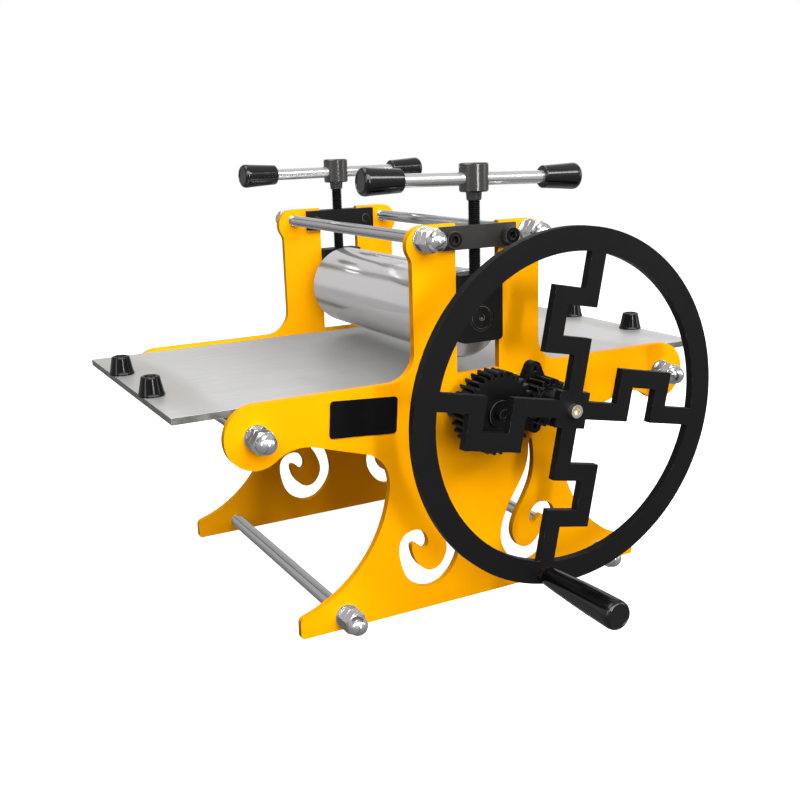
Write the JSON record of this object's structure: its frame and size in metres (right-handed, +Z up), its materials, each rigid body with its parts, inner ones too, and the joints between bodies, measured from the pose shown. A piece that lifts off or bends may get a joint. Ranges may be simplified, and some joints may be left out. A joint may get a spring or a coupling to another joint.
{
  "type": "etching press",
  "caption": "Tabletop etching press with cut side plates, two rollers, a sliding bed, T-handled pressure screws and a geared hand wheel.",
  "frame": {"origin": "centre of the bounding box at the bottom edge of the side plates, which stand on the table", "axes": "+X along the bed's travel to the right, +Z up, -Y towards the hand wheel"},
  "size_m": [0.4974, 0.4421, 0.3617],
  "materials": {
    "plate_paint": "glossy yellow-orange enamel on cut steel",
    "black_paint": "satin black paint on steel",
    "black_plate": "flat black bare plate",
    "roller_steel": "ground and polished steel",
    "rod_steel": "bright drawn steel",
    "zinc": "bright zinc plating",
    "gear_steel": "oiled machined steel",
    "bed_aluminium": "brushed along its length",
    "bronze": "sintered bronze",
    "rubber": "moulded black rubber",
    "black_plastic": "glossy black moulding"
  },
  "bodies": {
    "frame": {"side_plate_near": "plate_paint", "side_plate_far": "plate_paint", "label_plate": "black_plate", "top_rods": "rod_steel", "arm_rods": "rod_steel", "foot_rods": "rod_steel", "rod_washers": "zinc", "rod_nuts": "zinc", "acorn_nuts": "zinc", "crosshead_near": "black_paint", "crosshead_far": "black_paint", "crosshead_bolts": "black_paint", "roller_flange_near": "black_paint", "roller_flange_far": "black_paint", "crank_flange": "black_paint", "flange_bolts": "black_paint"},
    "carriage": {"block_near": "black_paint", "block_far": "black_paint", "bush_near": "bronze", "bush_far": "bronze", "keeper_pins": "rod_steel"},
    "upper_roller": {"upper_roller": "roller_steel"},
    "near_screw": {"pressure_screw_near": "black_paint", "t_hub_near": "black_paint", "t_bar_near": "rod_steel", "t_knobs_near": "black_plastic"},
    "far_screw": {"pressure_screw_far": "black_paint", "t_hub_far": "black_paint", "t_bar_far": "rod_steel", "t_knobs_far": "black_plastic"},
    "lower_roller": {"lower_roller": "roller_steel", "drive_gear": "gear_steel", "gear_key": "rod_steel", "gear_washer": "gear_steel", "gear_screw": "gear_steel"},
    "bed": {"bed_plate": "bed_aluminium", "bumpers": "rubber", "bumper_screws": "zinc"},
    "wheel": {"crank_shaft": "rod_steel", "pinion_gear": "gear_steel", "pinion_key": "rod_steel", "crank_collar": "black_paint", "hand_wheel": "black_paint", "wheel_dowels": "rod_steel", "hub_screw": "zinc", "handle_spindle": "rod_steel", "spindle_nut": "zinc"},
    "handle": {"handle_grip": "black_plastic"}
  },
  "joints": [
    {"name": "wheel_turn", "type": "hinge", "parent": "frame", "child": "wheel", "pos_m": [0.05758, -0.06995, 0.1677], "axis": [0, 1, 0], "range_deg": [-1000, 925]},
    {"name": "lower_roller_turn", "type": "hinge", "parent": "frame", "child": "lower_roller", "pos_m": [0.0076, 0.06205, 0.1662], "axis": [0, 1, 0], "range_deg": [-525, 567]},
    {"name": "bed_slide", "type": "slide", "parent": "frame", "child": "bed", "axis": [1, 0, 0], "range_m": [-0.193, 0.208]},
    {"name": "handle_spin", "type": "hinge", "parent": "wheel", "child": "handle", "pos_m": [0.03139, -0.17795, 0.03424], "axis": [0, 1, 0], "continuous": true},
    {"name": "carriage_lift", "type": "slide", "parent": "frame", "child": "carriage", "axis": [0, 0, 1], "range_m": [-0.0104, 0.018]},
    {"name": "upper_roller_turn", "type": "hinge", "parent": "carriage", "child": "upper_roller", "pos_m": [0.0076, 0.06205, 0.24], "axis": [0, 1, 0], "continuous": true},
    {"name": "near_screw_turn", "type": "hinge", "parent": "carriage", "child": "near_screw", "pos_m": [0.0076, -0.06495, 0.3], "axis": [0, 0, 1], "range_deg": [-2496, 4320]},
    {"name": "far_screw_turn", "type": "hinge", "parent": "carriage", "child": "far_screw", "pos_m": [0.0076, 0.18905, 0.3], "axis": [0, 0, 1], "range_deg": [-2496, 4320]}
  ],
  "couplings": [
    {"joint": "lower_roller_turn", "follows": "wheel_turn", "ratio": -0.5625},
    {"joint": "bed_slide", "follows": "wheel_turn", "m_per_rad": -0.011869},
    {"joint": "carriage_lift", "follows": "near_screw_turn", "m_per_rad": 0.00023873},
    {"joint": "far_screw_turn", "follows": "near_screw_turn", "ratio": 1}
  ]
}
